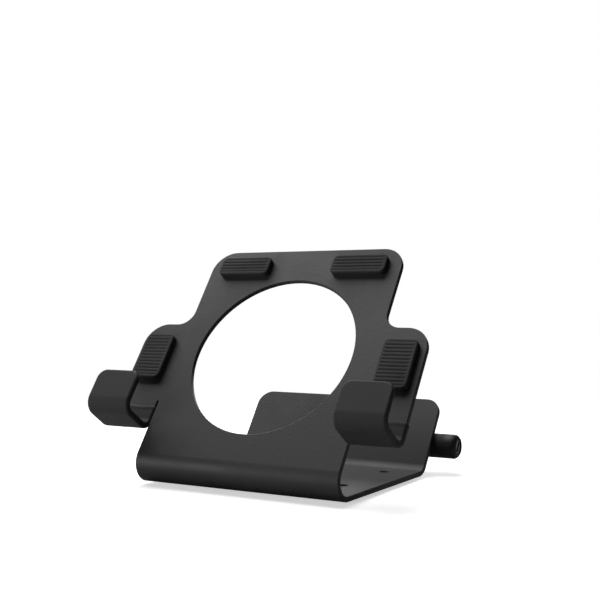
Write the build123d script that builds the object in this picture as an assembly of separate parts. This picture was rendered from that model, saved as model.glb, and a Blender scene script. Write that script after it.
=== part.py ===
from build123d import *
import math
import os

# Desk stand for a tablet: one bent steel sheet with two dipped hooks, pads, feet and a keyed lock.
# Frame: +Z up, +X to the right as seen from the front, -Y towards the user.
# The origin is on the underside of the bottom plate, at the centre of its four fixing holes.

# --- Sheet -------------------------------------------------------------------------------------
sheet = 2.5                     # steel sheet thickness
sheet_edge = 0.4                # rounding of the sheet's cut edges under the powder coat
bend_inside = 7.0               # inside radius of the two long bends
body_width = 110.0              # front wall, bottom plate and rear wall
lean = math.radians(35.2)       # how far the front and rear walls lean back from vertical
front_corner_y = -64.2          # where the front wall's face would meet the desk plane
rear_wall_depth = 81.6          # from the front wall's face to the rear wall's back, square to both

# Slope coordinates: "up" runs up the front wall from the sharp corner, "out" points to the user.
plate_top_up = 138.0
wing_low_up = 46.0              # the slits beside the hooks end here
wing_high_up = 92.0
wing_half_width = 79.7
wing_corner = 12.0
wing_root_fillet = 8.0
panel_seam_up = 80.0            # the rear wall's top panel starts here
rear_top_up = 99.8
rear_top_corner = 8.0
cutout_radius = 43.5
cutout_up = 75.5

# --- Fixing holes in the bottom plate -----------------------------------------------------------
hole_radius = 2.5
hole_spacing_x = 79.0
hole_spacing_y = 44.4

# --- Hooks and their dipped rubber coats ---------------------------------------------------------
hook_width = 23.8
hook_inside = 4.0               # inside radius of the hook's two bends
hook_leg_up = 30.1              # underside of the leg that carries the tablet's edge
hook_lip_out = 20.3             # front face of the lip
hook_lip_up = 50.9              # tip of the lip
hook_lip_corner = 4.5
coat = 0.5                      # thickness of the rubber coat
coat_edge = 1.2                 # the dipped rubber draws back into rounded edges
coat_top_up = 44.0              # the coat's edge on the hook's riser
slit = wing_half_width - hook_width - body_width / 2

# --- Pads and feet --------------------------------------------------------------------------------
pad_thickness = 3.2
lower_pad_size = (17.0, 26.0)
lower_pad_at = (67.7, 71.0)
upper_pad_size = (30.0, 11.0)
upper_pad_at = (33.0, 127.0)
pad_corner = 3.0
pad_edge = 0.8
foot_size = (16.0, 10.0)
foot_thickness = 1.2
foot_corner = 3.0
front_foot_at = (42.0, -33.5)
rear_foot_at = (26.0, 23.5)

# --- Lock ------------------------------------------------------------------------------------------
lock_up = 77.8                  # the lock's axis, parallel to X
lock_depth = 87.9               # the barrel almost touches the rear wall's back
barrel_radius = 6.2
barrel_start_x = 44.3
barrel_end_x = 63.6
barrel_edge = 0.5
collar_end_x = 66.8
collar_rounding = 2.8
core_radius = 4.0
core_back_x = 46.8
core_face_x = 66.2
running_clearance = 0.08
washer_thickness = 0.8
shaft_radius = 1.4
shaft_socket = 3.0              # how deep the shaft sits in the core
shaft_clearance = 0.1
head_length = 6.2
head_width = 2.8
head_thickness = 3.0
head_gap = 0.3
slot_length = 7.2
slot_width = 3.2
locating_pin_radius = 0.9
locating_pin_offset = 2.6
keyway_width = 1.6
keyway_height = 5.6
keyway_depth = 15.0
wafer_count = 4
wafer_pitch = 2.4
wafer_first_x = 60.8
wafer_size = (0.5, 4.4, 6.4)
wafer_slack = 0.1
wafer_channel = (5.2, 9.8)      # the barrel's channel for wafers with no key in
clip_x = 48.4                   # where the clip's groove starts
clip_thickness = 0.6
clip_radius = 4.7
groove_radius = 3.3
inlet_x = 54.0
inlet_radius = 2.3
inlet_outside = 3.5
inlet_reach = 12.5
inlet_floor = 8.0               # the socket's wall for the cable's end stops here, from the axis
inlet_drill_depth = 1.38        # the drill's point leaves a cone below it

# --- Lock bracket -------------------------------------------------------------------------------
bracket_sheet = 2.0
bracket_inside = 1.5
bracket_left_x = 14.0
bracket_low_up = 66.5
bracket_high_up = 88.5
bracket_cheek_radius = 7.0
stud_x = 21.5
stud_offset = 5.8               # each stud's distance above or below the lock's axis
stud_radius = 1.5
stud_length = 6.6
stud_washer_radius = 3.2
stud_washer_thickness = 0.5
nut_across_flats = 5.5
nut_thickness = 2.4

SIN = math.sin(lean)
COS = math.cos(lean)


def slope_plane(x=0.0, up=0.0, out=0.0):
    """The plane of the front wall's face, moved: local x is X, local y is up and local z is out."""
    origin = (x, front_corner_y + up * SIN - out * COS, up * COS + out * SIN)
    return Plane(origin=origin, x_dir=(1, 0, 0), z_dir=(0, -COS, SIN))


def side_plane(x):
    """A section plane square to X at x: local x is out and local y is up. It extrudes towards -X."""
    return Plane(origin=(x, front_corner_y, 0), x_dir=(0, -COS, SIN), z_dir=(-1, 0, 0))


def lock_plane(x):
    """A plane square to the lock's axis at x: local x points away from the wall, local y is up."""
    origin = slope_plane(x, lock_up, -lock_depth).origin
    return Plane(origin=origin, x_dir=(0, COS, -SIN), z_dir=(1, 0, 0))


def parallel(points, distance):
    """Corners of the line that runs beside a polyline, at a distance on its left."""
    corners = [Vector(*p) for p in points]
    steps = [(b - a).normalized() for a, b in zip(corners, corners[1:])]
    normals = [Vector(-s.Y, s.X) for s in steps]
    before = [normals[0]] + normals
    after = normals + [normals[-1]]
    return [
        p + (m + n) * (distance / (1 + m.dot(n)))
        for p, m, n in zip(corners, before, after)
    ]


def bent_strip(points, thickness, inside_radius):
    """Section of a bent sheet: its outer corners, and its thickness on their left."""
    outer = FilletPolyline(*[Vector(*p) for p in points], radius=inside_radius + thickness)
    inner = FilletPolyline(*parallel(points, thickness), radius=inside_radius)
    ends = [Line(outer @ 0, inner @ 0), Line(outer @ 1, inner @ 1)]
    return make_face([*outer.edges(), *inner.edges(), *ends])


def rounded_cylinder(plane, radius, length, rounding):
    """A round bar along the plane's normal, with its far edge rounded."""
    bar = extrude(plane * Circle(radius), length)
    rims = bar.edges().filter_by(GeomType.CIRCLE)
    far_rim = max(rims, key=lambda rim: (rim.arc_center - plane.origin).length)
    return fillet(far_rim, rounding)


def hook_path(coat_thickness=0.0, riser_top=wing_low_up):
    """Outer corners of a hook's section, from its riser round the leg to the tip of the lip."""
    back = -sheet - coat_thickness
    low = hook_leg_up - coat_thickness
    front = hook_lip_out + coat_thickness
    return [(back, riser_top), (back, low), (front, low), (front, hook_lip_up + coat_thickness)]


def hook_solid(side, coat_thickness=0.0, riser_top=wing_low_up):
    """One hook, or with a coat thickness the outer shape of its rubber coat."""
    section = bent_strip(
        hook_path(coat_thickness, riser_top),
        sheet + 2 * coat_thickness,
        hook_inside - coat_thickness,
    )
    width = hook_width + 2 * coat_thickness
    centre_x = side * (wing_half_width - hook_width / 2)
    strip = extrude(side_plane(centre_x + width / 2) * section, width)
    tip = hook_lip_up + coat_thickness
    front_view = Pos(0, tip / 2) * Rectangle(width, tip)
    corners = front_view.vertices().group_by(Axis.Y)[-1]
    front_view = fillet(corners, hook_lip_corner + coat_thickness)
    mask = extrude(slope_plane(centre_x, 0, -20) * front_view, 60)
    return strip & mask


def stand_body():
    """The steel sheet: support plate with wings and hooks, bottom plate, rear wall."""
    rear_back_up = (rear_wall_depth * SIN) / COS
    rear_corner_y = front_corner_y + rear_back_up * SIN + rear_wall_depth * COS

    def wall_point(up, depth):
        return (front_corner_y + up * SIN + depth * COS, up * COS - depth * SIN)

    path = [
        wall_point(wing_low_up, 0),
        (front_corner_y, 0),
        (rear_corner_y, 0),
        wall_point(panel_seam_up, rear_wall_depth),
    ]
    section = bent_strip(path, sheet, bend_inside)
    body = extrude(Plane.YZ.offset(-body_width / 2) * section, body_width)

    plate_height = plate_top_up - wing_low_up
    wing_height = wing_high_up - wing_low_up
    plate = Pos(0, wing_low_up + plate_height / 2) * Rectangle(body_width, plate_height)
    wings = Pos(0, wing_low_up + wing_height / 2) * Rectangle(2 * wing_half_width, wing_height)
    outline = plate + wings
    roots = [v for v in outline.vertices() if abs(abs(v.X) - body_width / 2) < 0.01
             and abs(v.Y - wing_high_up) < 0.01]
    outline = fillet(roots, wing_root_fillet)
    tips = [v for v in outline.vertices() if abs(v.Y - plate_top_up) < 0.01
            or (abs(v.Y - wing_high_up) < 0.01 and abs(abs(v.X) - wing_half_width) < 0.01)]
    outline = fillet(tips, wing_corner)
    body += extrude(slope_plane() * outline, -sheet)

    panel_height = rear_top_up - panel_seam_up
    panel = Pos(0, panel_seam_up + panel_height / 2) * Rectangle(body_width, panel_height)
    panel = fillet(panel.vertices().group_by(Axis.Y)[-1], rear_top_corner)
    body += extrude(slope_plane(0, 0, -rear_wall_depth) * panel, sheet)

    body += hook_solid(-1)
    body += hook_solid(1)

    cutout = slope_plane(0, cutout_up, 0) * Circle(cutout_radius)
    body -= extrude(cutout, 2 * sheet, both=True)
    for side in (-1, 1):
        slit_x = side * (body_width / 2 + slit / 2)
        body -= extrude(slope_plane(slit_x, wing_low_up, 0) * Circle(slit / 2), 2 * sheet, both=True)
    for place in GridLocations(hole_spacing_x, hole_spacing_y, 2, 2):
        body -= extrude(place * Circle(hole_radius), 2 * sheet, both=True)
    return fillet(body.edges(), sheet_edge)


def hook_coat(side, body):
    """The rubber coat that one hook is dipped in. Its edge on the riser is left square."""
    outside = hook_solid(side, coat, coat_top_up)
    face = slope_plane()
    soft_edges = [edge for edge in outside.edges()
                  if face.to_local_coords(edge.center()).Y < coat_top_up - 0.01
                  or face.to_local_coords(edge.center()).Z > coat + 0.01]
    return fillet(soft_edges, coat_edge) - body


def pad(size, at):
    """A rubber pad on the support plate's face, where the tablet's back leans."""
    block = extrude(slope_plane(*at) * RectangleRounded(*size, pad_corner), pad_thickness)
    face_edges = [e for e in block.edges()
                  if abs(slope_plane().to_local_coords(e.center()).Z - pad_thickness) < 0.01]
    return fillet(face_edges, pad_edge)


def foot(at):
    """A flat rubber foot under the bottom plate."""
    return extrude(Pos(at[0], at[1], 0) * RectangleRounded(*foot_size, foot_corner), -foot_thickness)


def bracket_face_x():
    """The right face of the bracket's slotted cheek."""
    return barrel_start_x - washer_thickness


def lock_bracket():
    """An angle on the rear wall's back. Its cheek stands square to X and holds the security slot."""
    cheek_x = bracket_face_x()
    depth = lock_depth + bracket_cheek_radius - rear_wall_depth
    corner = [(bracket_left_x, 0), (cheek_x, 0), (cheek_x, depth)]
    section = bent_strip(corner, bracket_sheet, bracket_inside)
    height = bracket_high_up - bracket_low_up
    origin = slope_plane(0, bracket_low_up, -rear_wall_depth).origin
    across = Plane(origin=origin, x_dir=(1, 0, 0), z_dir=(0, SIN, COS))
    angle = extrude(across * section, height)
    cheek_view = Circle(bracket_cheek_radius) + Pos(-depth / 2, 0) * Rectangle(
        depth, 2 * bracket_cheek_radius)
    cheek_mask = extrude(lock_plane(cheek_x) * cheek_view, -bracket_sheet - bracket_inside)
    reach = cheek_x - bracket_sheet - bracket_inside
    foot_mask = extrude(across * (Pos(reach / 2, depth / 2) * Rectangle(reach, depth)), height)
    angle = (angle & cheek_mask) + (angle & foot_mask)
    slot = lock_plane(cheek_x) * Rot(0, 0, 90) * SlotOverall(slot_length, slot_width)
    angle -= extrude(slot, -3 * bracket_sheet)
    for up in (lock_up - stud_offset, lock_up + stud_offset):
        hole = slope_plane(stud_x, up, -rear_wall_depth) * Circle(stud_radius)
        angle -= extrude(hole, -2 * bracket_sheet)
    return angle


def at_studs(shape_at):
    """The same fastener at both studs."""
    return Compound(children=[shape_at(lock_up - stud_offset), shape_at(lock_up + stud_offset)])


def bracket_stud(up):
    """A threaded stud welded to the rear wall's back, drawn at its thread's outer size."""
    return extrude(slope_plane(stud_x, up, -rear_wall_depth) * Circle(stud_radius), -stud_length)


def bracket_washer(up):
    """A flat washer on the bracket."""
    face = slope_plane(stud_x, up, -rear_wall_depth - bracket_sheet)
    ring = face * (Circle(stud_washer_radius) - Circle(stud_radius))
    return extrude(ring, -stud_washer_thickness)


def bracket_nut(up):
    """A hexagon nut with its corners eased."""
    face = slope_plane(stud_x, up, -rear_wall_depth - bracket_sheet - stud_washer_thickness)
    hexagon = RegularPolygon(nut_across_flats / 2, 6, major_radius=False)
    nut = extrude(face * hexagon, -nut_thickness)
    across_corners = nut_across_flats / math.cos(math.radians(30))
    easing = Cone(across_corners / 2 + nut_thickness, nut_across_flats / 2 * 0.95, nut_thickness * 1.2)
    seat = slope_plane(stud_x, up, -rear_wall_depth - bracket_sheet - stud_washer_thickness)
    turned = Plane(origin=seat.origin, x_dir=(1, 0, 0), z_dir=-seat.z_dir)
    nut &= turned * Pos(0, 0, nut_thickness * 0.4) * easing
    return nut - extrude(face * Circle(stud_radius), -nut_thickness)


def lock_barrel():
    """The lock's die-cast barrel, bored for the core and for the shaft of the locking bar."""
    barrel = extrude(lock_plane(barrel_start_x) * Circle(barrel_radius), barrel_end_x - barrel_start_x)
    bore = lock_plane(core_back_x - shaft_clearance) * Circle(core_radius + running_clearance)
    barrel -= extrude(bore, barrel_end_x)
    pocket = lock_plane(clip_x - shaft_clearance) * Circle(clip_radius + running_clearance)
    barrel -= extrude(pocket, clip_thickness + 2 * shaft_clearance)
    channel_length = wafer_count * wafer_pitch
    channel = lock_plane(wafer_first_x - channel_length + wafer_pitch / 2) * Rectangle(*wafer_channel)
    barrel -= extrude(channel, channel_length)
    barrel -= extrude(lock_plane(barrel_start_x) * Circle(shaft_radius + shaft_clearance), barrel_end_x)
    front_rim = min(barrel.edges().filter_by(GeomType.CIRCLE), key=lambda rim: (
        rim.center().X, -rim.radius))
    return fillet(front_rim, barrel_edge) - locating_pins()


def lock_washer():
    """A nylon washer between the barrel and the bracket's cheek."""
    ring = Circle(barrel_radius - 0.6) - Circle(shaft_radius + shaft_clearance)
    washer = extrude(lock_plane(bracket_face_x()) * ring, washer_thickness)
    return washer - locating_pins()


def locating_pins():
    """Two pins that stand in the slot beside the locking bar, so that the barrel can't turn."""
    start = bracket_face_x() - bracket_sheet
    length = barrel_start_x - start + 2.0
    pins = [
        extrude(lock_plane(start) * Pos(0, offset) * Circle(locating_pin_radius), length)
        for offset in (-locating_pin_offset, locating_pin_offset)
    ]
    return Compound(children=pins)


def lock_collar():
    """The rounded collar that closes the barrel at the key's end."""
    collar = rounded_cylinder(lock_plane(barrel_end_x), barrel_radius, collar_end_x - barrel_end_x,
                              collar_rounding)
    return collar - extrude(lock_plane(barrel_end_x) * Circle(core_radius + running_clearance), 10)


def wafer_places():
    """Where the wafers stand along the core."""
    return [wafer_first_x - i * wafer_pitch for i in range(wafer_count)]


def lock_core():
    """The core that the key turns: keyway in its face, slots for the wafers, groove for the clip."""
    core = extrude(lock_plane(core_back_x) * Circle(core_radius), core_face_x - core_back_x)
    groove = Circle(2 * core_radius) - Circle(groove_radius)
    core -= extrude(lock_plane(clip_x) * groove, clip_thickness)
    core -= extrude(lock_plane(core_back_x) * Circle(shaft_radius), shaft_socket)
    keyway = lock_plane(core_face_x) * Rectangle(keyway_width, keyway_height)
    core -= extrude(keyway, -keyway_depth)
    thickness, width, _ = wafer_size
    for x in wafer_places():
        slot = lock_plane(x - thickness / 2 - wafer_slack) * Rectangle(
            width + 2 * wafer_slack, 3 * core_radius)
        core -= extrude(slot, thickness + 2 * wafer_slack)
    return core


def lock_wafers():
    """The brass wafers that the key lifts, drawn level with the core as they are with the key in."""
    thickness, width, height = wafer_size
    window = Rectangle(keyway_width + 0.2, height - 1.6)
    return Compound(children=[
        extrude(lock_plane(x - thickness / 2) * (Rectangle(width, height) - window), thickness)
        for x in wafer_places()
    ])


def core_clip():
    """The open spring clip that keeps the core in its barrel."""
    ring = Circle(clip_radius) - Circle(groove_radius)
    gap = Pos(0, -clip_radius) * Rectangle(2 * groove_radius * 0.8, 2 * clip_radius)
    return extrude(lock_plane(clip_x) * (ring - gap), clip_thickness)


def locking_bar():
    """The T-shaped bar behind the slot. Crosswise it locks, in line with the slot it comes free."""
    head_end = bracket_face_x() - bracket_sheet - head_gap
    head = extrude(lock_plane(head_end - head_thickness) * Rectangle(head_length, head_width),
                   head_thickness)
    head = fillet(head.edges().filter_by(Axis.X), 0.8)
    shaft_end = core_back_x + shaft_socket
    shaft = extrude(lock_plane(head_end) * Circle(shaft_radius), shaft_end - head_end)
    return head + shaft


def cable_bush():
    """The blind socket on the barrel's back that a steel cable's end is crimped into."""
    plane = Plane(origin=lock_plane(inlet_x).origin, x_dir=(1, 0, 0), z_dir=(0, 1, 0))
    sleeve = rounded_cylinder(plane, inlet_outside, inlet_reach, barrel_edge)
    keep_out = extrude(lock_plane(barrel_start_x) * Circle(barrel_radius), barrel_end_x - barrel_start_x)
    sleeve -= keep_out
    floor = plane.offset(inlet_floor)
    sleeve -= extrude(floor * Circle(inlet_radius), inlet_reach - inlet_floor)
    drill_point = Cone(0, inlet_radius, inlet_drill_depth, align=(Align.CENTER, Align.CENTER, Align.MAX))
    return sleeve - floor * drill_point


def build_parts():
    """Every piece by the name of its node."""
    body = stand_body()
    parts = {
        "stand_body": body,
        "left_hook_coat": hook_coat(-1, body),
        "right_hook_coat": hook_coat(1, body),
    }
    for name, side in (("left", -1), ("right", 1)):
        parts[f"{name}_lower_pad"] = pad(lower_pad_size, (side * lower_pad_at[0], lower_pad_at[1]))
        parts[f"{name}_upper_pad"] = pad(upper_pad_size, (side * upper_pad_at[0], upper_pad_at[1]))
        parts[f"front_{name}_foot"] = foot((side * front_foot_at[0], front_foot_at[1]))
        parts[f"rear_{name}_foot"] = foot((side * rear_foot_at[0], rear_foot_at[1]))
    parts["lock_bracket"] = lock_bracket()
    parts["bracket_studs"] = at_studs(bracket_stud)
    parts["bracket_washers"] = at_studs(bracket_washer)
    parts["bracket_nuts"] = at_studs(bracket_nut)
    parts["lock_barrel"] = lock_barrel()
    parts["lock_washer"] = lock_washer()
    parts["locating_pins"] = locating_pins()
    parts["lock_collar"] = lock_collar()
    parts["cable_bush"] = cable_bush()
    parts["lock_core"] = lock_core()
    parts["lock_wafers"] = lock_wafers()
    parts["core_clip"] = core_clip()
    parts["locking_bar"] = locking_bar()
    return parts


os.makedirs("parts", exist_ok=True)
for node, shape in build_parts().items():
    export_step(shape, f"parts/{node}.step")
    size = shape.bounding_box().size
    print(f"{node}: {len(shape.solids())} solid(s), {size.X:.1f} x {size.Y:.1f} x {size.Z:.1f} mm")
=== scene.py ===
# %% [markdown]
# # A tablet stand bent from one black sheet
# The real stand is one laser-cut sheet of steel. A press brake folds it, powder coat blackens it,
# and its two hooks are dipped in rubber so that they grip a tablet without scratching it. Rubber
# pads, rubber feet and a small keyed lock complete it.
#
# The lesson follows the maker's order. A flat blank is drawn first, one function gives it its
# thickness, and another bends it. The first function makes the rubber coats, the pads and the feet
# too. Finishes, light and camera come last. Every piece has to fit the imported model, so the first
# cell loads it.

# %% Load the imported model
import math
import bpy
import numpy as np
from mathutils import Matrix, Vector
from mathutils.geometry import delaunay_2d_cdt


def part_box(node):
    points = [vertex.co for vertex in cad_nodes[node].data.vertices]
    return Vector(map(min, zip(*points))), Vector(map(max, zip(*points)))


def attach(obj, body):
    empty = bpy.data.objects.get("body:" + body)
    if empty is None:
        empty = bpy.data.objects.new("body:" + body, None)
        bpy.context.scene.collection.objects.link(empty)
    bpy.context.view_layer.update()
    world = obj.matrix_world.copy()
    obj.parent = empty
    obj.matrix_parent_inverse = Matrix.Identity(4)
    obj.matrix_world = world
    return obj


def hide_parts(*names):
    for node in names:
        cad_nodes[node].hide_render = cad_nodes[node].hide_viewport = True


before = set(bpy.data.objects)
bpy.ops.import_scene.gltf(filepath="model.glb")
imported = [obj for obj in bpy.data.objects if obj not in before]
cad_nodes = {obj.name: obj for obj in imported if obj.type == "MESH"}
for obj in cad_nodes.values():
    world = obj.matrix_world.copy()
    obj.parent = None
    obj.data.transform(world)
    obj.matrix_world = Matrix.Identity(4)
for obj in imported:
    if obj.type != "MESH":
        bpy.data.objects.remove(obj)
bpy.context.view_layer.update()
MM = 0.001

# %% [markdown]
# ## The sizes of the sheet
# A press-brake operator works from a few numbers: the thickness of the sheet, the inside radius of
# its bends, the lean of its walls and the length of each flat. They are written in millimetres, as
# on a workshop drawing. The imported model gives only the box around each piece, so the drawing's
# numbers are repeated here, and the two boxes are compared once the sheet is bent.

# %% Workshop sizes, in millimetres
sheet_thickness = 2.5
sheet_edge_radius = 0.4
bend_inside_radius = 7.0
hook_inside_radius = 4.0
lean = math.radians(35.2)
front_corner_y = -64.2
rear_wall_depth = 81.6
body_half_width = 55.0
wing_half_width = 79.7
wing_low_up, wing_high_up, plate_top_up = 46.0, 92.0, 138.0
rear_top_up = 99.8
wing_corner, wing_root_fillet, rear_top_corner = 12.0, 8.0, 8.0
hook_width = 23.8
hook_leg_up = 30.1
hook_lip_out = 20.3
hook_lip_up = 50.9
hook_lip_corner = 4.5
coat_thickness = 0.5
coat_top_up = 44.0
lean_sin, lean_cos = math.sin(lean), math.cos(lean)
print(f"the hooks are {2 * wing_half_width:.1f} mm apart over their outer edges")

# %% [markdown]
# ## A line that bends
# Seen from the side, the stand is a line made of straights and arcs. Such a line is described by
# the length and curvature of each stretch, which is how a press brake sees it: so much flat, then
# so many degrees. Storing points would also work, but then every bend would need its own maths.

# %% BendLine: straights and arcs in the YZ plane
class BendLine:
    """A line of straights and arcs. At a distance s, the heading is the start heading plus the
    curvature added up along s. A straight runs s along its heading. An arc of curvature k runs
    (sin(h) - sin(h0)) / k along Y and (cos(h0) - cos(h)) / k along Z."""

    def __init__(self, start, heading, stretches):
        self.start_s, self.heads, self.bends, self.points = [0.0], [heading], [], [np.array(start)]
        for length, turn in stretches:
            bend = turn / length
            self.bends.append(bend)
            step = self.walk(self.heads[-1], bend, np.array([length]))[0]
            self.points.append(self.points[-1] + step)
            self.heads.append(self.heads[-1] + turn)
            self.start_s.append(self.start_s[-1] + length)
        self.length = self.start_s[-1]

    @staticmethod
    def walk(head, bend, ds):
        """Steps of lengths ds from a heading, on a curvature that may be zero."""
        bend = np.broadcast_to(np.asarray(bend, float), ds.shape)
        half = bend * ds / 2
        chord = ds * np.sinc(half / np.pi)
        return np.stack([chord * np.cos(head + half), chord * np.sin(head + half)], axis=-1)

    def at(self, s):
        """Points and headings at distances s."""
        index = np.clip(np.searchsorted(self.start_s, s, side="right") - 1, 0, len(self.bends) - 1)
        ds = s - np.array(self.start_s)[index]
        head = np.array(self.heads)[index]
        bend = np.array(self.bends)[index]
        return np.array(self.points)[index] + self.walk(head, bend, ds), head + bend * ds

    def levels(self, step_angle, step_flat):
        """Distances where the mesh needs a row: close together in bends, further apart on flats."""
        rows = [0.0]
        for s0, s1, bend in zip(self.start_s, self.start_s[1:], self.bends):
            turned = abs(bend) * (s1 - s0)
            count = max(1, math.ceil(turned / step_angle if bend else (s1 - s0) / step_flat))
            rows.extend(np.linspace(s0, s1, count + 1)[1:])
        return np.array(rows)


def wall_point(up, depth):
    """Y and Z of a point on the leaning front wall, so far up it and so far behind its face."""
    return (front_corner_y + up * lean_sin + depth * lean_cos, up * lean_cos - depth * lean_sin)


down_slope = math.atan2(-lean_cos, -lean_sin) % (2 * math.pi)
fold = math.pi / 2 - lean
outer_radius = bend_inside_radius + sheet_thickness
middle_radius = bend_inside_radius + sheet_thickness / 2
front_tangent_up = outer_radius / math.tan(fold / 2)
rear_corner_up = rear_wall_depth * lean_sin / lean_cos
rear_tangent = outer_radius * math.tan(fold / 2)
rear_corner_y = wall_point(rear_corner_up, rear_wall_depth)[0]
floor_length = rear_corner_y - rear_tangent - (front_corner_y + front_tangent_up)
body_line = BendLine(
    wall_point(plate_top_up, sheet_thickness / 2),
    down_slope,
    [
        (plate_top_up - front_tangent_up, 0.0),
        (middle_radius * (math.pi - fold), math.pi - fold),
        (floor_length, 0.0),
        (middle_radius * fold, fold),
        (rear_top_up - rear_corner_up - rear_tangent, 0.0),
    ],
)
hook_middle = hook_inside_radius + sheet_thickness / 2
hook_outer = hook_inside_radius + sheet_thickness
hook_tangent_up = hook_leg_up + hook_outer
leg_length = hook_lip_out + sheet_thickness - 2 * hook_outer
quarter = math.pi / 2
hook_line = BendLine(
    wall_point(plate_top_up, sheet_thickness / 2),
    down_slope,
    [
        (plate_top_up - hook_tangent_up, 0.0),
        (hook_middle * quarter, -quarter),
        (leg_length, 0.0),
        (hook_middle * quarter, -quarter),
        (hook_lip_up - hook_tangent_up, 0.0),
    ],
)
print(f"the blank is {body_line.length:.1f} mm long, and {hook_line.length:.1f} mm to a hook's tip")

# %% [markdown]
# ## Outlines with rounded corners
# A blank is cut along a closed outline. Each corner is an arc, so that the laser doesn't stop and
# the coat doesn't chip. The outline also carries, at every point, the direction into the metal,
# which the rounded rim needs. Extra points sit where the sheet will bend, because a bend can only
# happen between two rows of points.

# %% Outlines and holes
row_clearance = 0.15
level_tolerance = 0.5
long_edge, edge_pitch = 6, 3


def rounded_outline(corners, radii, rows=(), arc_step=math.radians(9)):
    """A closed outline, anticlockwise. A corner of radius r is cut at r * tan(turn / 2) from its
    tip and replaced by an arc. Straights that cross a row's height get a point there, and long
    level straights get evenly spaced points. Returns the points and the unit directions into the
    sheet."""
    corners = np.asarray(corners, float)
    before = corners - np.roll(corners, 1, axis=0)
    after = np.roll(corners, -1, axis=0) - corners
    before /= np.linalg.norm(before, axis=1, keepdims=True)
    after /= np.linalg.norm(after, axis=1, keepdims=True)
    cross = before[:, 0] * after[:, 1] - before[:, 1] * after[:, 0]
    turn = np.arctan2(cross, np.sum(before * after, axis=1))
    points, inward = [], []
    for corner, radius, t_in, angle in zip(corners, radii, before, turn):
        start = corner - t_in * radius * math.tan(abs(angle) / 2)
        side = np.array([-t_in[1], t_in[0]]) * np.sign(angle)
        centre = start + side * radius
        steps = np.linspace(0, angle, max(3, math.ceil(abs(angle) / arc_step) + 1))
        turned_x = -side[0] * np.cos(steps) + side[1] * np.sin(steps)
        turned_y = -side[0] * np.sin(steps) - side[1] * np.cos(steps)
        radial = np.stack([turned_x, turned_y], axis=1)
        arc = centre + radius * radial
        points.append(arc)
        inward.append(-radial * np.sign(angle))
    full_points, full_inward = [], []
    rows = np.asarray(rows, float)
    for i, (arc, into) in enumerate(zip(points, inward)):
        full_points.append(arc)
        full_inward.append(into)
        a, b = arc[-1], points[(i + 1) % len(points)][0]
        low, high = sorted((a[1], b[1]))
        inner = rows[(rows > low + row_clearance) & (rows < high - row_clearance)]
        inner = inner if b[1] > a[1] else inner[::-1]
        if len(inner):
            share = (inner - a[1]) / (b[1] - a[1])
            full_points.append(a + share[:, None] * (b - a))
            full_inward.append(np.repeat(into[-1:], len(inner), axis=0))
        elif abs(b[1] - a[1]) < level_tolerance and np.linalg.norm(b - a) > long_edge:
            share = np.linspace(0, 1, math.ceil(np.linalg.norm(b - a) / edge_pitch) + 1)[1:-1]
            full_points.append(a + share[:, None] * (b - a))
            full_inward.append(np.repeat(into[-1:], len(share), axis=0))
    return np.concatenate(full_points), np.concatenate(full_inward)


def round_hole(centre, radius, count):
    """A hole, clockwise: centre + radius * (cos, -sin). Into the sheet is away from its centre."""
    angle = np.linspace(0, 2 * math.pi, count, endpoint=False)
    radial = np.stack([np.cos(angle), -np.sin(angle)], axis=1)
    return np.asarray(centre) + radius * radial, radial


def inside_loop(points, loop):
    """True for points inside a closed loop, by counting how many of its edges lie to the right."""
    x, y = points[:, 0, None], points[:, 1, None]
    a, b = loop, np.roll(loop, -1, axis=0)
    spans = (a[:, 1] > y) != (b[:, 1] > y)
    rise = np.where(b[:, 1] == a[:, 1], 1e-12, b[:, 1] - a[:, 1])
    crossing = a[:, 0] + (y - a[:, 1]) / rise * (b[:, 0] - a[:, 0])
    return (np.sum(spans & (crossing > x), axis=1) % 2) == 1


# %% [markdown]
# ## From blank to solid plate
# A plate is two equal faces joined by a rounded rim. The faces are triangulated once in the flat.
# The rim is a row of rings: each ring moves out and down along a quarter circle, so the rim has the
# soft edge that powder coat or rubber really has. Blender's Bevel modifier could round the edge
# too, but it narrows where triangles are thin. Here the normals are known exactly as well.

# %% Flat plates with a rounded rim
glue_edge_limit = 0.2
search_blocks = 16
weld_distance = 1e-6


def rim_profile(half, top_radius, base_radius, steps=5):
    """How far in, how high and how tilted each ring of the rim is: a quarter circle from the top
    face down to the side, then a quarter circle from the side in to the base. A tilt of 0 faces
    up, 90 degrees faces sideways and 180 degrees faces down. A base edge under the glue edge limit
    gets no rings between its ends, so it stays sharp."""
    top = np.linspace(0, math.pi / 2, steps + 1)[1:]
    low = np.linspace(math.pi / 2, math.pi, steps + 1)
    low = low if base_radius > glue_edge_limit else low[[0, -1]]
    inset = [top_radius * (1 - np.sin(top)), base_radius * (1 - np.sin(low))]
    height = [half - top_radius * (1 - np.cos(top)), base_radius * (1 + np.cos(low)) - half]
    keep = slice(None) if base_radius < top_radius else slice(None, -1)
    tilt = np.concatenate([top, low])[keep]
    return zip(np.concatenate(inset)[keep], np.concatenate(height)[keep], tilt)


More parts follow.
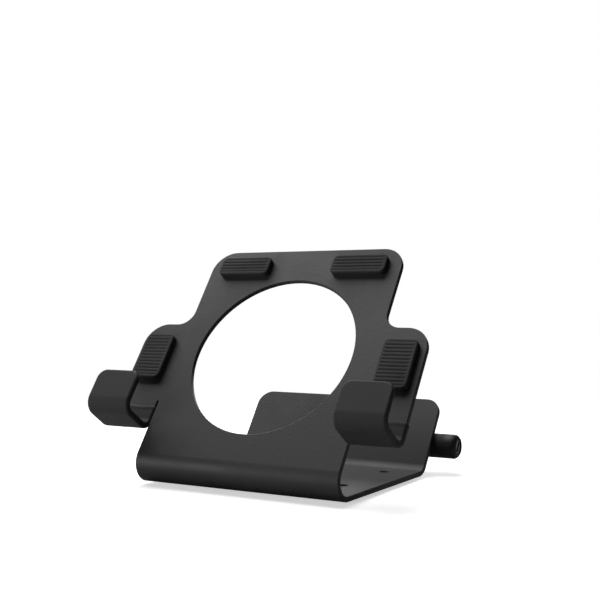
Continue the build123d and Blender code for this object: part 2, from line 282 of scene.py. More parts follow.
def fill_flat(loops, lattice, closest=0.45):
    """Triangles between the outline and the holes, through the lattice points that lie there."""
    counts = [len(loop) for loop in loops]
    starts = np.concatenate([[0], np.cumsum(counts)[:-1]])
    keep = inside_loop(lattice, loops[0])
    for hole in loops[1:]:
        keep &= ~inside_loop(lattice, hole)
    edge_points = np.concatenate(loops)
    gap = np.concatenate([
        np.hypot(*(edge_points[None] - block[:, None]).transpose(2, 0, 1)).min(axis=1)
        for block in np.array_split(lattice, search_blocks)
    ])
    kept = lattice[keep & (gap > closest)]
    flat = np.concatenate([edge_points, kept])
    edges = [(s + i, s + (i + 1) % n) for s, n in zip(starts, counts) for i in range(n)]
    found = delaunay_2d_cdt([Vector(p) for p in flat.tolist()], edges, [], 0, weld_distance)
    assert len(found[0]) == len(flat), "the outline crosses itself"
    triangles = np.array(found[2])
    middles = flat[triangles].mean(axis=1)
    wanted = inside_loop(middles, loops[0])
    for hole in loops[1:]:
        wanted &= ~inside_loop(middles, hole)
    triangles = triangles[wanted]
    a, b, c = (flat[triangles[:, i]] for i in range(3))
    area = (b[:, 0] - a[:, 0]) * (c[:, 1] - a[:, 1]) - (b[:, 1] - a[:, 1]) * (c[:, 0] - a[:, 0])
    return flat, np.where(area[:, None] > 0, triangles, triangles[:, ::-1]), starts


def flat_plate(outline, holes, thickness, top_radius, base_radius, lattice):
    """A plate in flat coordinates (across, along, out). Every ring of the rim is the outline moved
    into the sheet by the ring's inset. Returns points, unit normals, triangles, quads and a mask
    that is 1 on the rim."""
    loops = [outline, *holes]
    flat, face, starts = fill_flat([place + into * top_radius for place, into in loops], lattice)
    half, m = thickness / 2, len(flat)
    up = np.tile([0.0, 0.0, 1.0], (m, 1))
    points = [np.column_stack([flat, np.full(m, half)]), np.column_stack([flat, np.full(m, -half)])]
    normals, rim_mask, quads, total = [up, -up], [np.zeros(2 * m)], [], 2 * m
    for (place, into), start in zip(loops, starts):
        count = len(place)
        rings = [np.arange(start, start + count)]
        for inset, height, tilt in rim_profile(half, top_radius, base_radius):
            points.append(np.column_stack([place + into * inset, np.full(count, height)]))
            side = -into * math.sin(tilt)
            normals.append(np.column_stack([side, np.full(count, math.cos(tilt))]))
            rim_mask.append(np.ones(count))
            rings.append(np.arange(total, total + count))
            total += count
        rings.append(rings[0] + m)
        for upper, lower in zip(rings, rings[1:]):
            quads.append(np.stack([upper, lower, np.roll(lower, -1), np.roll(upper, -1)], axis=1))
    triangles = np.concatenate([face, face[:, ::-1] + m])
    return (np.concatenate(points), np.concatenate(normals), triangles,
            np.concatenate(quads), np.concatenate(rim_mask))


def bend_plate(points, normals, line, along_start):
    """Carries flat points onto a bend line. A point's along coordinate, counted down from
    along_start, is its distance on the line; its out coordinate stands off to the line's right."""
    place, head = line.at(along_start - points[:, 1])
    right = np.stack([np.sin(head), -np.cos(head)], axis=1)
    ahead = np.stack([np.cos(head), np.sin(head)], axis=1)
    yz = place + right * points[:, 2:3]
    normal_yz = right * normals[:, 2:3] - ahead * normals[:, 1:2]
    return np.column_stack([points[:, 0], yz]), np.column_stack([normals[:, 0], normal_yz])


def lattice_points(across, along):
    """Every pair of an across value and an along value."""
    grid = np.meshgrid(across, along)
    return np.column_stack([grid[0].ravel(), grid[1].ravel()])


def mesh_piece(name, points, normals, triangles, quads, rim=None):
    """A mesh object from whole arrays, in metres at the origin, with exact vertex normals."""
    mesh = bpy.data.meshes.new(name)
    corners = np.concatenate([triangles.ravel(), quads.ravel()]).astype(np.int32)
    sizes = np.concatenate([np.full(len(triangles), 3), np.full(len(quads), 4)])
    mesh.vertices.add(len(points))
    mesh.vertices.foreach_set("co", (points * MM).astype(np.float32).ravel())
    mesh.loops.add(len(corners))
    mesh.loops.foreach_set("vertex_index", corners)
    mesh.polygons.add(len(sizes))
    first = np.concatenate([[0], np.cumsum(sizes)[:-1]]).astype(np.int32)
    mesh.polygons.foreach_set("loop_start", first)
    mesh.update(calc_edges=True)
    mesh.validate()
    mesh.shade_smooth()
    if rim is not None:
        mask = mesh.attributes.new("rim", "FLOAT", "POINT")
        mask.data.foreach_set("value", rim.astype(np.float32))
    if normals is not None:
        mesh.normals_split_custom_set_from_vertices(normals.tolist())
    piece = bpy.data.objects.new(name, mesh)
    bpy.context.scene.collection.objects.link(piece)
    print(f"{name}: {len(points)} points, {len(sizes)} faces")
    return piece


# %% [markdown]
# ## The bent sheet
# The blank is a wide T. Its stem is the support plate, the front wall, the bottom plate and the
# rear wall in one strip. Its two arms are the wings, and from each wing a narrow strip hangs down
# beside the stem, parted from it by a slit: that strip becomes the hook. The stem and the hooks
# follow two different bend lines, and both lines start out alike, so the wings stay whole.

# %% Cut the blank and bend it
slit_half = (wing_half_width - hook_width - body_half_width) / 2
slit_middle = body_half_width + slit_half
tip_along = plate_top_up - hook_line.length
rear_along = plate_top_up - body_line.length
flat_pitch = 3.0
body_rows = plate_top_up - body_line.levels(math.radians(3.5), flat_pitch)
hook_rows = plate_top_up - hook_line.levels(math.radians(6), flat_pitch)
right_side = [
    (wing_half_width - hook_width, tip_along, hook_lip_corner),
    (wing_half_width, tip_along, hook_lip_corner),
    (wing_half_width, wing_high_up, wing_corner),
    (body_half_width, wing_high_up, wing_root_fillet),
    (body_half_width, plate_top_up, wing_corner),
]
slit_end_radius = slit_half * 0.999
slit_top = [(body_half_width, wing_low_up + slit_half, slit_end_radius),
            (wing_half_width - hook_width, wing_low_up + slit_half, slit_end_radius)]
right_half = [(body_half_width, rear_along, rear_top_corner), *slit_top, *right_side]
left_half = [(-x, y, r) for x, y, r in reversed(right_half)]
blank = np.array(right_half + left_half)
all_rows = np.unique(np.round(np.concatenate([body_rows, hook_rows]), 4))
outline = rounded_outline(blank[:, :2], blank[:, 2], all_rows)

cutout_up, cutout_radius = 75.5, 43.5
hole_radius, hole_x, hole_y = 2.5, 39.5, 22.2
floor_middle_s = body_line.start_s[2] - (front_corner_y + front_tangent_up)
holes = [round_hole((0, cutout_up), cutout_radius, 120)]
for x in (-hole_x, hole_x):
    for y in (-hole_y, hole_y):
        holes.append(round_hole((x, plate_top_up - floor_middle_s - y), hole_radius, 28))

side_margin, slit_margin, wing_margin = 1.4, 2.2, 1.2
body_columns = np.linspace(-body_half_width + side_margin, body_half_width - side_margin, 36)
wing_columns = np.linspace(slit_middle + slit_margin, wing_half_width - wing_margin, 9)
lattice = np.concatenate([
    lattice_points(body_columns, body_rows),
    lattice_points(wing_columns, hook_rows),
    lattice_points(-wing_columns, hook_rows),
])
points, normals, triangles, quads, rim = flat_plate(
    outline, holes, sheet_thickness, sheet_edge_radius, sheet_edge_radius, lattice)
on_hook = np.abs(points[:, 0]) > slit_middle
bent_points, bent_normals = bend_plate(points, normals, body_line, plate_top_up)
hook_points, hook_normals = bend_plate(points, normals, hook_line, plate_top_up)
bent_points[on_hook] = hook_points[on_hook]
bent_normals[on_hook] = hook_normals[on_hook]
bent_sheet = mesh_piece("bent_sheet", bent_points, bent_normals, triangles, quads, rim)
cad_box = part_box("stand_body")
error = np.abs(bent_points.min(axis=0) * MM - np.array(cad_box[0])).max()
error = max(error, np.abs(bent_points.max(axis=0) * MM - np.array(cad_box[1])).max())
print(f"the bent sheet meets the CAD sheet's box within {error / MM:.3f} mm")

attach(bent_sheet, "stand")
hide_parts("stand_body")

# %% [markdown]
# ## Dipped rubber on the hooks
# The maker hangs the stand and dips its hooks in liquid rubber. The rubber wraps the steel in a
# layer half a millimetre thick, draws back into soft rounded edges, swells a little in the bends
# and ends in a slightly wavy bead. A boolean or a copy of the hook pushed outwards would give an
# even layer. A thicker plate bent on the same line gives the bead and the soft edges as well.

# %% Swell a flat plate
def swell(points, normals, height):
    """Moves flat points along their normals by height(across, along). A normal n becomes
    n - (g - (g . n) n), where g is the gradient of the height."""
    x, y = points[:, 0], points[:, 1]
    step = 0.05
    slope_x = (height(x + step, y) - height(x - step, y)) / (2 * step)
    slope_y = (height(x, y + step) - height(x, y - step)) / (2 * step)
    gradient = np.column_stack([slope_x, slope_y, np.zeros_like(x)])
    gradient -= np.sum(gradient * normals, axis=1, keepdims=True) * normals
    tilted = normals - gradient
    tilted /= np.linalg.norm(tilted, axis=1, keepdims=True)
    return points + normals * height(x, y)[:, None], tilted


# %% The rubber coats
coat_corner = 5.0
coat_top_corner = 1.3
coat_edge_radius = 1.2
coat_margin = 1.8
bead_height, bead_drop, bead_spread = 0.16, 1.6, 0.9
ripple_depth, ripple_fade = 0.035, 8
draw_back, draw_wave, draw_fade = 0.35, 0.3, 3
coat_half_width = hook_width / 2 + coat_thickness
coat_tip_along = tip_along - coat_thickness


def rubber_coat(name, node, side):
    """A plate one coat thicker than the sheet on every side, swollen at the bead along its top
    and in slow ripples, then bent on the hook's line. The bead is a bell curve, and the ripples are
    products and sums of sines at unrelated spacings, so that they don't repeat. The top edge is
    drawn back by a sine across the hook."""
    middle = side * (wing_half_width - hook_width / 2)
    left, right = middle - coat_half_width, middle + coat_half_width
    corners = np.array([
        (left, coat_tip_along), (right, coat_tip_along), (right, coat_top_up), (left, coat_top_up)])
    rows = np.concatenate([hook_rows, np.linspace(coat_tip_along + 2, coat_top_up - bead_drop, 60)])
    radii = [coat_corner, coat_corner, coat_top_corner, coat_top_corner]
    loop = rounded_outline(corners, radii, np.unique(rows))
    lattice = lattice_points(np.linspace(left + coat_margin, right - coat_margin, 18), rows)
    points, normals, triangles, quads, rim = flat_plate(
        loop, [], sheet_thickness + 2 * coat_thickness, coat_edge_radius, coat_edge_radius, lattice)

    def ripple(x, y):
        bead = bead_height * np.exp(-(((y - coat_top_up + bead_drop) / bead_spread) ** 2))
        slow = np.sin(0.41 * x + 0.9 * side) * np.sin(0.33 * y + 0.6) + np.sin(0.23 * y - 0.3 * x)
        fade = np.clip((y - coat_tip_along) / ripple_fade, 0, 1)
        return bead - ripple_depth * (1 + 0.5 * slow) * fade

    points, normals = swell(points, normals, ripple)
    near_top = np.exp(-np.clip(coat_top_up - points[:, 1], 0, None) / draw_fade)
    points[:, 1] -= (draw_back + draw_wave * np.sin(0.55 * points[:, 0] + side)) * near_top
    points, normals = bend_plate(points, normals, hook_line, plate_top_up)
    coat = mesh_piece(name, points, normals, triangles, quads, rim)
    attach(coat, "stand")
    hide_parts(node)
    return coat


left_coat = rubber_coat("left_dipped_coat", "left_hook_coat", -1)
right_coat = rubber_coat("right_dipped_coat", "right_hook_coat", 1)

# %% [markdown]
# ## Pads and feet
# A tablet leans on four moulded pads, each with fine ribs so that it doesn't slide sideways. Under
# the bottom plate are four thin feet. All eight are small plates with a soft outer edge and a sharp
# edge where their glue holds them, so the plate function makes them as well. Only where the flat
# points are sent differs: onto the leaning wall, or upside down under the floor plate.

# %% Ribbed pads on the support plate
pad_thickness, pad_corner, pad_edge_radius = 3.2, 3.0, 0.8
rib_pitch, rib_depth, rib_fade = 1.9, 0.4, 1.2
pad_start, pad_stop, pad_column_pitch = 1.1, 1.0, 0.9
glued_edge_radius = 0.1
face_tolerance = 0.01
pad_places = {"lower": ((17.0, 26.0), 67.7, 71.0), "upper": ((30.0, 11.0), 33.0, 127.0)}


def ribbed_pad(name, node, size, middle):
    """A plate with grooves across its face: the depth follows a raised cosine of the distance
    along, sharpened so that the ribs are wider than the grooves, and fades towards the rim."""
    half_x, half_y = size[0] / 2, size[1] / 2
    corners = [(-half_x, -half_y), (half_x, -half_y), (half_x, half_y), (-half_x, half_y)]
    rows = np.arange(-half_y + pad_start, half_y - pad_stop, rib_pitch / 10)
    columns = np.arange(-half_x + pad_start, half_x - pad_stop, pad_column_pitch)
    loop = rounded_outline(np.array(corners), [pad_corner] * 4, rows[::3])
    points, normals, triangles, quads, rim = flat_plate(
        loop, [], pad_thickness, pad_edge_radius, glued_edge_radius, lattice_points(columns, rows))
    face = points[:, 2] > pad_thickness / 2 - face_tolerance

    def grooves(x, y):
        inside = np.minimum(half_x - np.abs(x), half_y - np.abs(y)) - pad_start
        fade = np.clip(inside / rib_fade, 0, 1)
        wave = 0.5 + 0.5 * np.cos(2 * math.pi * y / rib_pitch)
        return -rib_depth * wave ** 3 * fade * fade * (3 - 2 * fade)

    swollen, tilted = swell(points[face], normals[face], grooves)
    points[face], normals[face] = swollen, tilted
    up = middle[1] + points[:, 1]
    out = points[:, 2] + pad_thickness / 2
    y, z = wall_point(up, -out)
    normal_y = normals[:, 1] * lean_sin - normals[:, 2] * lean_cos
    normal_z = normals[:, 1] * lean_cos + normals[:, 2] * lean_sin
    place = np.column_stack([middle[0] + points[:, 0], y, z])
    direction = np.column_stack([normals[:, 0], normal_y, normal_z])
    pad = mesh_piece(name, place, direction, triangles, quads, rim)
    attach(pad, "stand")
    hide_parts(node)
    return pad


pads = []
for side, side_name in ((-1, "left"), (1, "right")):
    for level, (size, x, up) in pad_places.items():
        node = f"{side_name}_{level}_pad"
        pads.append(ribbed_pad(f"{node}_ribbed", node, size, (side * x, up)))

# %% Feet under the bottom plate
foot_corner, foot_edge_radius, foot_margin = 3.0, 0.5, 0.9
dish_reach, dish_depth = 0.85, 0.15


def rubber_foot(name, node):
    """A thin plate turned face down about X, its outer edge rounded, with a shallow dish in the
    face that grips like a sucker: the dish is a raised cosine of the distance to the middle."""
    low, high = (np.array(corner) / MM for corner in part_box(node))
    middle, half, thickness = (low + high) / 2, (high - low) / 2, high[2] - low[2]
    corners = [(-half[0], -half[1]), (half[0], -half[1]), (half[0], half[1]), (-half[0], half[1])]
    rows = np.linspace(-half[1] + foot_margin, half[1] - foot_margin, 12)
    columns = np.linspace(-half[0] + foot_margin, half[0] - foot_margin, 18)
    loop = rounded_outline(np.array(corners), [foot_corner] * 4, rows)
    points, normals, triangles, quads, rim = flat_plate(
        loop, [], thickness, foot_edge_radius, glued_edge_radius, lattice_points(columns, rows))
    face = points[:, 2] > thickness / 2 - face_tolerance

    def dish(x, y):
        reach = np.clip(np.hypot(x / half[0], y / half[1]), 0, dish_reach) / dish_reach
        return -dish_depth * (1 + np.cos(math.pi * reach))

    points[face], normals[face] = swell(points[face], normals[face], dish)
    turn = np.array([1, -1, -1])
    foot = mesh_piece(name, middle + points * turn, normals * turn, triangles, quads, rim)
    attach(foot, "stand")
    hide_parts(node)
    return foot


feet = [
    rubber_foot(f"{node}_moulded", node)
    for node in ("front_left_foot", "front_right_foot", "rear_left_foot", "rear_right_foot")
]

# %% [markdown]
# ## Threaded studs
# Two M3 studs are welded to the back of the rear wall and hold the lock's bracket. A thread is a
# groove whose angle advances by one turn for each pitch of length. A texture could only hint at it,
# and the Screw modifier would make an open ribbon. A grid of angle and length whose radius follows
# the groove gives a closed bar, chamfered at its tip. Edges that turn by more than the crisp angle
# are shaded sharp, because a cut tip has a clear edge.

# %% Threaded bar
stud_radius, stud_length, stud_x = 1.5, 6.6, 21.5
thread_pitch, thread_depth, tip_chamfer = 0.5, 0.29, 0.45
lock_up, stud_offset = 77.8, 5.8
crisp_angle = math.radians(40)


def threaded_bar(around=48, along=130):
    """A closed bar on a grid of angle a and length z. Its radius is the full radius less the depth
    times (1 + cos(2 pi z / pitch - a)) / 2, and never more than the chamfer at the tip allows."""
    angle = np.linspace(0, 2 * math.pi, around, endpoint=False)[None]
    z = np.linspace(0, stud_length, along)[:, None]
    groove = 0.5 + 0.5 * np.cos(2 * math.pi * z / thread_pitch - angle)
    chamfer = stud_radius - tip_chamfer + (stud_length - z)
    radius = np.minimum(stud_radius - thread_depth * groove, chamfer)
    ring = np.stack([radius * np.cos(angle), radius * np.sin(angle), z + 0 * angle], axis=-1)
    ends = np.array([[0, 0, 0], [0, 0, stud_length]])
    points = np.concatenate([ring.reshape(-1, 3), ends])
    index = np.arange(around * along).reshape(along, around)
    ahead = np.roll(index, -1, axis=1)
    quads = np.stack([index[:-1], ahead[:-1], ahead[1:], index[1:]], axis=-1).reshape(-1, 4)
    base = np.column_stack([ahead[0], index[0], np.full(around, around * along)])
    tip = np.column_stack([index[-1], ahead[-1], np.full(around, around * along + 1)])
    return points, np.concatenate([base, tip]), quads


bar, bar_triangles, bar_quads = threaded_bar()
stud_points, stud_triangles, stud_quads = [], [], []
for i, up in enumerate((lock_up - stud_offset, lock_up + stud_offset)):
    y, z = wall_point(up + bar[:, 1], rear_wall_depth + bar[:, 2])
    stud_points.append(np.column_stack([stud_x - bar[:, 0], y, z]))
    stud_triangles.append(bar_triangles + i * len(bar))
    stud_quads.append(bar_quads + i * len(bar))
threaded_studs = mesh_piece(
    "threaded_studs", np.concatenate(stud_points), None,
    np.concatenate(stud_triangles), np.concatenate(stud_quads))
threaded_studs.data.set_sharp_from_angle(angle=crisp_angle)
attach(threaded_studs, "stand")
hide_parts("bracket_studs")

# %% [markdown]
# ## Surface effects that finishes share
# Powder coat, rubber and cast metal all have a fine grain, lighter rims that are partly rubbing from
# handling and partly a painted highlight along the edges, and dust on what faces up. Each effect is a
# node group with named sockets, built once and given different values in each material. A group only
# puts out values: the shader stays in the material.

# %% Node helpers
def put(tree, kind, inputs=None, **settings):
    """Adds a node. An input is linked if it is given a socket, and set if it is given a value."""
    node = tree.nodes.new(kind)
    for key, value in settings.items():
        setattr(node, key, value)
    for key, value in (inputs or {}).items():
        if isinstance(value, bpy.types.NodeSocket):
            tree.links.new(value, node.inputs[key])
        else:
            node.inputs[key].default_value = value
    return node


def sums(tree, operation, first, second):
    """The output of one Math node."""
    return put(tree, "ShaderNodeMath", {0: first, 1: second}, operation=operation).outputs[0]


def ramp(tree, value, from_low, from_high, to_low=0.0, to_high=1.0):
    """The output of a smooth Map Range node."""
    stops = {"Value": value, "From Min": from_low, "From Max": from_high,
             "To Min": to_low, "To Max": to_high}
    node = put(tree, "ShaderNodeMapRange", stops, interpolation_type="SMOOTHSTEP")
    return node.outputs["Result"]


def new_group(name, inputs, outputs):
    """A shader node group with float sockets of these names. Returns it and its two ends."""
    group = bpy.data.node_groups.new(name, "ShaderNodeTree")
    for title, value in inputs.items():
        socket = group.interface.new_socket(title, in_out="INPUT", socket_type="NodeSocketFloat")
        socket.default_value = value
    for title in outputs:
        group.interface.new_socket(title, in_out="OUTPUT", socket_type="NodeSocketFloat")
    start = group.nodes.new("NodeGroupInput").outputs
    end = group.nodes.new("NodeGroupOutput").inputs
    return group, start, end


def noise(tree, scale, detail=2.0, roughness=0.5):
    """The factor of a noise texture on object coordinates, which are metres here."""
    place = put(tree, "ShaderNodeTexCoord").outputs["Object"]
    sockets = {"Vector": place, "Scale": scale, "Detail": detail, "Roughness": roughness}
    return put(tree, "ShaderNodeTexNoise", sockets).outputs["Fac"]


# %% Grain: rolling cells with a finer tooth on them
grain, start, end = new_group("grain", {"Cell mm": 1.0, "Tooth": 0.3}, ["Height", "Mottle"])
cells_per_metre = sums(grain, "DIVIDE", 1000.0, start["Cell mm"])
cells = noise(grain, cells_per_metre, detail=1.0)
tooth_scale = sums(grain, "MULTIPLY", cells_per_metre, 5.0)
tooth = noise(grain, tooth_scale, detail=2.0, roughness=0.6)
height = sums(grain, "ADD", cells, sums(grain, "MULTIPLY", tooth, start["Tooth"]))
grain.links.new(height, end["Height"])
clouds = noise(grain, 22.0, detail=4.0, roughness=0.6)
grain.links.new(ramp(grain, clouds, 0.3, 0.7), end["Mottle"])

# %% Rim rubbing and painted sheen: the rim of a piece, broken up by noise
# The mask lightens the rim, partly as rubbing of the coat and partly as a painted highlight along the
# edge.
rim_rub_and_sheen, start, end = new_group("rim_rub_and_sheen", {"Amount": 0.5, "Cell mm": 4.0}, ["Mask"])
rim_value = put(rim_rub_and_sheen, "ShaderNodeAttribute", attribute_name="rim").outputs["Fac"]
patch_scale = sums(rim_rub_and_sheen, "DIVIDE", 1000.0, start["Cell mm"])
patches = noise(rim_rub_and_sheen, patch_scale, detail=4.0, roughness=0.65)
broken = ramp(rim_rub_and_sheen, patches, 0.42, 0.62, to_low=0.15, to_high=1.0)
patchy_rub_and_sheen = sums(rim_rub_and_sheen, "MULTIPLY", rim_value, broken)
scaled_rub_and_sheen = sums(rim_rub_and_sheen, "MULTIPLY", patchy_rub_and_sheen, start["Amount"])
rim_rub_and_sheen.links.new(scaled_rub_and_sheen, end["Mask"])

# %% Dust: settles on what faces up
dust, start, end = new_group("dust", {"Amount": 0.3}, ["Mask"])
facing = put(dust, "ShaderNodeNewGeometry").outputs["Normal"]
upward = put(dust, "ShaderNodeSeparateXYZ", {0: facing}).outputs["Z"]
level_share = ramp(dust, upward, 0.35, 1.0)
specks = ramp(dust, noise(dust, 160.0, detail=5.0, roughness=0.7), 0.4, 0.75)
settled = sums(dust, "MULTIPLY", level_share, specks)
dust.links.new(sums(dust, "MULTIPLY", settled, start["Amount"]), end["Mask"])
print("node groups:", [group.name for group in bpy.data.node_groups])

# %% [markdown]
# ## Finishes
# Every finish mixes two close colours by the mottle, then lays dust and lighter rims over them; the
# rims are partly rubbing of the coat and partly a painted highlight. Its roughness follows the same
# masks, because what changes a surface's colour changes its gloss too.
# The grain goes into a Bump node. The numbers are what set satin powder coat, matte rubber and
# plated steel apart.

# %% One builder for every finish
dust_colour = (0.22, 0.21, 0.2)
wear_polish, dust_dulling = 0.12, 0.8


def finish(name, dark, light, rough, cell, bump, tooth=0.3, rub_and_sheen_amount=0.0, rub_and_sheen_colour=None,
           dust_amount=0.0, metal=0.0, gloss=0.5, streaks=None):
    """A material. dark and light are mixed by the mottle, rough is its roughness's low and high
    end, bump is the grain's height in micrometres, and streaks is the spacing of tool marks along
    X in millimetres."""
    material = bpy.data.materials.new(name)
    material.use_nodes = True
    tree = material.node_tree
    shader = tree.nodes["Principled BSDF"]
    grained = put(tree, "ShaderNodeGroup", node_tree=grain)
    grained.inputs["Cell mm"].default_value = cell
    grained.inputs["Tooth"].default_value = tooth
    rub_and_sheen_node = put(tree, "ShaderNodeGroup", node_tree=rim_rub_and_sheen)
    rub_and_sheen_node.inputs["Amount"].default_value = rub_and_sheen_amount
    dusted = put(tree, "ShaderNodeGroup", node_tree=dust)
    dusted.inputs["Amount"].default_value = dust_amount

    def mixed(factor, a, b):
        node = put(tree, "ShaderNodeMix", data_type="RGBA")
        tree.links.new(factor, node.inputs[0])
        for socket, value in ((node.inputs[6], a), (node.inputs[7], b)):
            if isinstance(value, bpy.types.NodeSocket):
                tree.links.new(value, socket)
            else:
                socket.default_value = (*value, 1.0)
        return node.outputs[2]

    colour = mixed(grained.outputs["Mottle"], dark, light)
    # Painted edge highlight: the rim mask lightens the colour, partly as rubbing and partly as sheen.
    colour = mixed(rub_and_sheen_node.outputs["Mask"], colour, rub_and_sheen_colour or light)
    colour = mixed(dusted.outputs["Mask"], colour, dust_colour)
    tree.links.new(colour, shader.inputs["Base Color"])
    roughness = ramp(tree, grained.outputs["Mottle"], 0.0, 1.0, *rough)
    polished = sums(tree, "MULTIPLY", rub_and_sheen_node.outputs["Mask"], wear_polish)
    roughness = sums(tree, "SUBTRACT", roughness, polished)
    dulled = sums(tree, "MULTIPLY", dusted.outputs["Mask"], dust_dulling)
    roughness = sums(tree, "ADD", roughness, dulled)
    height = grained.outputs["Height"]
    if streaks:
        place = put(tree, "ShaderNodeTexCoord").outputs["Object"]
        sockets = {"Vector": place, "Scale": 1000.0 / (streaks * 20), "Distortion": 1.5, "Detail": 3.0,
                   "Detail Scale": 4.0}
        marks = put(tree, "ShaderNodeTexWave", sockets, bands_direction="X").outputs["Fac"]
        height = sums(tree, "ADD", height, marks)
        roughness = sums(tree, "ADD", roughness, ramp(tree, marks, 0.0, 1.0, -0.04, 0.06))
    tree.links.new(roughness, shader.inputs["Roughness"])
    bumped = put(tree, "ShaderNodeBump", {"Height": height, "Strength": 1.0, "Distance": bump * 1e-6})
    tree.links.new(bumped.outputs["Normal"], shader.inputs["Normal"])
    shader.inputs["Metallic"].default_value = metal
    shader.inputs["Specular IOR Level"].default_value = gloss
    return material


def wear_it(material, *things):
    """Puts a material on pieces and on CAD nodes given by name."""
    for thing in things:
        piece = cad_nodes[thing] if isinstance(thing, str) else thing
        piece.data.materials.clear()
        piece.data.materials.append(material)


# %% The finishes, and what wears them
# The rim colours given below lighten the edges, partly as rubbing and partly as a painted highlight.
powder_coat = finish(
    "satin_powder_coat", (0.0120, 0.0120, 0.0125), (0.0165, 0.0165, 0.017), (0.50, 0.60),
    cell=1.1, bump=45, tooth=0.4, rub_and_sheen_amount=0.12, rub_and_sheen_colour=(0.016, 0.016, 0.016),
    dust_amount=0.02, gloss=0.42)
dipped_rubber = finish(
    "dipped_rubber", (0.013, 0.013, 0.0135), (0.019, 0.019, 0.0195), (0.62, 0.74),
    cell=0.8, bump=55, tooth=0.5, rub_and_sheen_amount=0.15, dust_amount=0.03, gloss=0.35)
moulded_rubber = finish(
    "moulded_rubber", (0.012, 0.012, 0.012), (0.02, 0.02, 0.02), (0.66, 0.8),
    cell=0.35, bump=18, tooth=0.5, rub_and_sheen_amount=0.3, dust_amount=0.04, gloss=0.3)
lock_coating = finish(
    "lock_coating", (0.006, 0.006, 0.0065), (0.009, 0.009, 0.0095), (0.52, 0.62),
    cell=0.7, bump=10, tooth=0.3, dust_amount=0.02, gloss=0.3, streaks=0.9)
collar_plastic = finish(
    "collar_plastic", (0.007, 0.007, 0.007), (0.010, 0.010, 0.010), (0.58, 0.7),
    cell=0.28, bump=14, tooth=0.6, dust_amount=0.02, gloss=0.3)
zinc_plate = finish(
    "zinc_plate", (0.48, 0.49, 0.5), (0.62, 0.62, 0.6), (0.26, 0.42),
    cell=0.6, bump=5, tooth=0.6, metal=1.0, streaks=0.25)
machined_brass = finish(
    "machined_brass", (0.52, 0.37, 0.15), (0.66, 0.5, 0.24), (0.25, 0.4),
    cell=0.5, bump=4, tooth=0.6, metal=1.0, streaks=0.2)
burnished_core = finish(
    "burnished_core", (0.018, 0.018, 0.018), (0.035, 0.034, 0.033), (0.3, 0.42),
    cell=0.5, bump=5, tooth=0.5, metal=0.6, streaks=0.3)
black_nylon = finish(
    "black_nylon", (0.022, 0.022, 0.022), (0.035, 0.035, 0.035), (0.45, 0.58),
    cell=0.4, bump=8, tooth=0.4, gloss=0.4)
wear_it(powder_coat, bent_sheet, "lock_bracket")
wear_it(dipped_rubber, left_coat, right_coat)
wear_it(moulded_rubber, *pads, *feet)
wear_it(lock_coating, "lock_barrel", "cable_bush")
wear_it(collar_plastic, "lock_collar")
wear_it(zinc_plate, threaded_studs, "bracket_washers", "bracket_nuts", "locating_pins",
        "core_clip", "locking_bar")
wear_it(machined_brass, "lock_wafers")
wear_it(burnished_core, "lock_core")
wear_it(black_nylon, "lock_washer")
print(len(bpy.data.materials), "materials")

# %% [markdown]
# ## Floor and light
# The stand sits on a pale table in a white studio. A large soft light hangs above it, to the left,
# and a panel stands behind it, so the bottom plate and the inside of the rear bend are bright while
# the leaning walls stay dark. A low fill from the front left keeps the front wall readable. The
# floor is lighter to the camera than to the lights, and it fades out into the white world, so that
# no horizon cuts through the picture.

# %% A round floor that fades out
floor_radius = 1.6
floor_gap = 0.00005
floor_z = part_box("front_left_foot")[0][2] - floor_gap
fade_start, fade_end = 0.14, 0.5
tone_to_lights, tone_to_camera = 0.45, 0.98


def round_floor(around=96, rings=24):
    """A disc on a grid of angle and radius, with the rings closer together near the middle."""
    radius = floor_radius * (np.arange(rings + 1) / rings)[1:, None] ** 1.5
    angle = np.linspace(0, 2 * math.pi, around, endpoint=False)[None]
    flat = np.stack([radius * np.cos(angle), radius * np.sin(angle), 0 * radius * angle], axis=-1)
    points = np.concatenate([flat.reshape(-1, 3), [[0, 0, 0]]]) / MM
    points[:, 2] += floor_z / MM
    index = np.arange(around * rings).reshape(rings, around)
    ahead = np.roll(index, -1, axis=1)
    quads = np.stack([index[:-1], index[1:], ahead[1:], ahead[:-1]], axis=-1).reshape(-1, 4)
    middle = np.column_stack([index[0], ahead[0], np.full(around, around * rings)])
    return mesh_piece("floor", points, None, middle, quads)


floor = round_floor()
floor_finish = bpy.data.materials.new("pale_floor")
floor_finish.use_nodes = True
tree = floor_finish.node_tree
paper = tree.nodes["Principled BSDF"]
paper.inputs["Roughness"].default_value = 0.85
paper.inputs["Specular IOR Level"].default_value = 0.2
paper.inputs["Emission Strength"].default_value = 0.55
seen = put(tree, "ShaderNodeLightPath").outputs["Is Camera Ray"]
tone = ramp(tree, seen, 0.0, 1.0, tone_to_lights, tone_to_camera)
tree.links.new(put(tree, "ShaderNodeCombineColor", {0: tone, 1: tone, 2: tone}).outputs[0],
               paper.inputs["Base Color"])
tree.links.new(put(tree, "ShaderNodeCombineColor", {0: seen, 1: seen, 2: seen}).outputs[0],
               paper.inputs["Emission Color"])
from_middle = put(tree, "ShaderNodeVectorMath",
                  {0: put(tree, "ShaderNodeTexCoord").outputs["Object"]}, operation="LENGTH")
under = put(tree, "ShaderNodeNewGeometry").outputs["Backfacing"]
far_off = ramp(tree, from_middle.outputs["Value"], fade_start, fade_end)
fade = sums(tree, "MAXIMUM", far_off, under)
clear = put(tree, "ShaderNodeBsdfTransparent")
blended = put(tree, "ShaderNodeMixShader", {0: fade, 1: paper.outputs[0], 2: clear.outputs[0]})
tree.links.new(blended.outputs[0], tree.nodes["Material Output"].inputs["Surface"])
wear_it(floor_finish, floor)

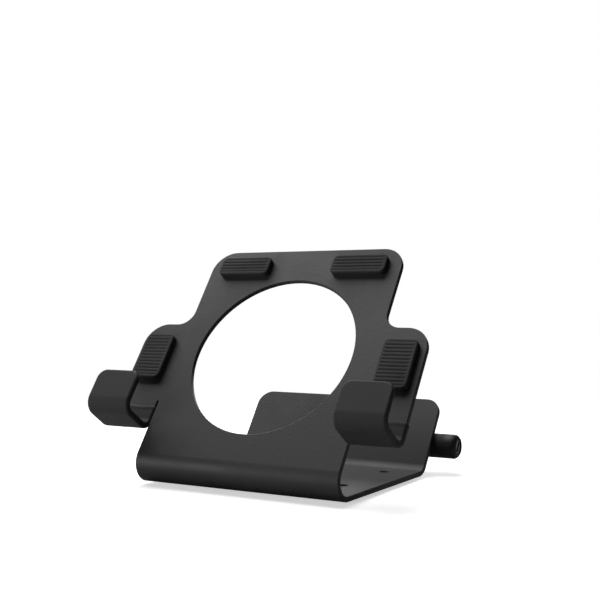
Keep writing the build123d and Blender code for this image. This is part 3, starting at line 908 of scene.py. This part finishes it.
# %% World and soft lights
world = bpy.data.worlds.new("white_studio")
world.use_nodes = True
tree = world.node_tree
background = tree.nodes["Background"]
seen = put(tree, "ShaderNodeLightPath").outputs["Is Camera Ray"]
world_to_lights, world_to_camera = 0.05, 1.0
tone = ramp(tree, seen, 0.0, 1.0, world_to_lights, world_to_camera)
tree.links.new(put(tree, "ShaderNodeCombineColor", {0: tone, 1: tone, 2: tone}).outputs[0],
               background.inputs["Color"])
bpy.context.scene.world = world
bpy.context.scene.view_settings.view_transform = "Standard"


def soft_light(name, place, aim, width, height, power):
    """A rectangular area light at a place, turned towards its aim."""
    light = bpy.data.lights.new(name, "AREA")
    light.shape = "RECTANGLE"
    light.size, light.size_y, light.energy = width, height, power
    holder = bpy.data.objects.new(name, light)
    holder.location = place
    holder.rotation_euler = (Vector(aim) - Vector(place)).to_track_quat("-Z", "Y").to_euler()
    bpy.context.scene.collection.objects.link(holder)
    return holder


soft_light("overhead_light", place=(-0.40, 0.16, 0.95), aim=(0.0, 0.0, 0.02),
           width=1.1, height=1.0, power=14.5)
soft_light("front_fill", place=(-0.55, -0.88, 0.07), aim=(0.0, 0.0, 0.03),
           width=0.7, height=0.35, power=5.0)
soft_light("rear_panel", place=(-0.50, 1.0, 0.26), aim=(0.0, 0.0, 0.03),
           width=0.9, height=0.5, power=6.8)
print("lights:", [light.name for light in bpy.data.lights])

# %% [markdown]
# ## Camera
# The camera stands level, a little over half a metre away, in front of the stand and to its right.
# A long lens keeps the perspective of a table-top picture.

# %% Camera
camera = bpy.data.cameras.new("camera")
camera.lens = 63.19
camera.sensor_width = 36.0
camera_place = Vector((0.26705, -0.4504, 0.08764))
camera_aim = Vector((-0.5045, 0.8634, 0.0))
camera_holder = bpy.data.objects.new("camera", camera)
camera_holder.location = camera_place
camera_holder.rotation_euler = camera_aim.to_track_quat("-Z", "Y").to_euler()
bpy.context.scene.collection.objects.link(camera_holder)
bpy.context.scene.camera = camera_holder
print("camera at", tuple(round(value, 3) for value in camera_place))
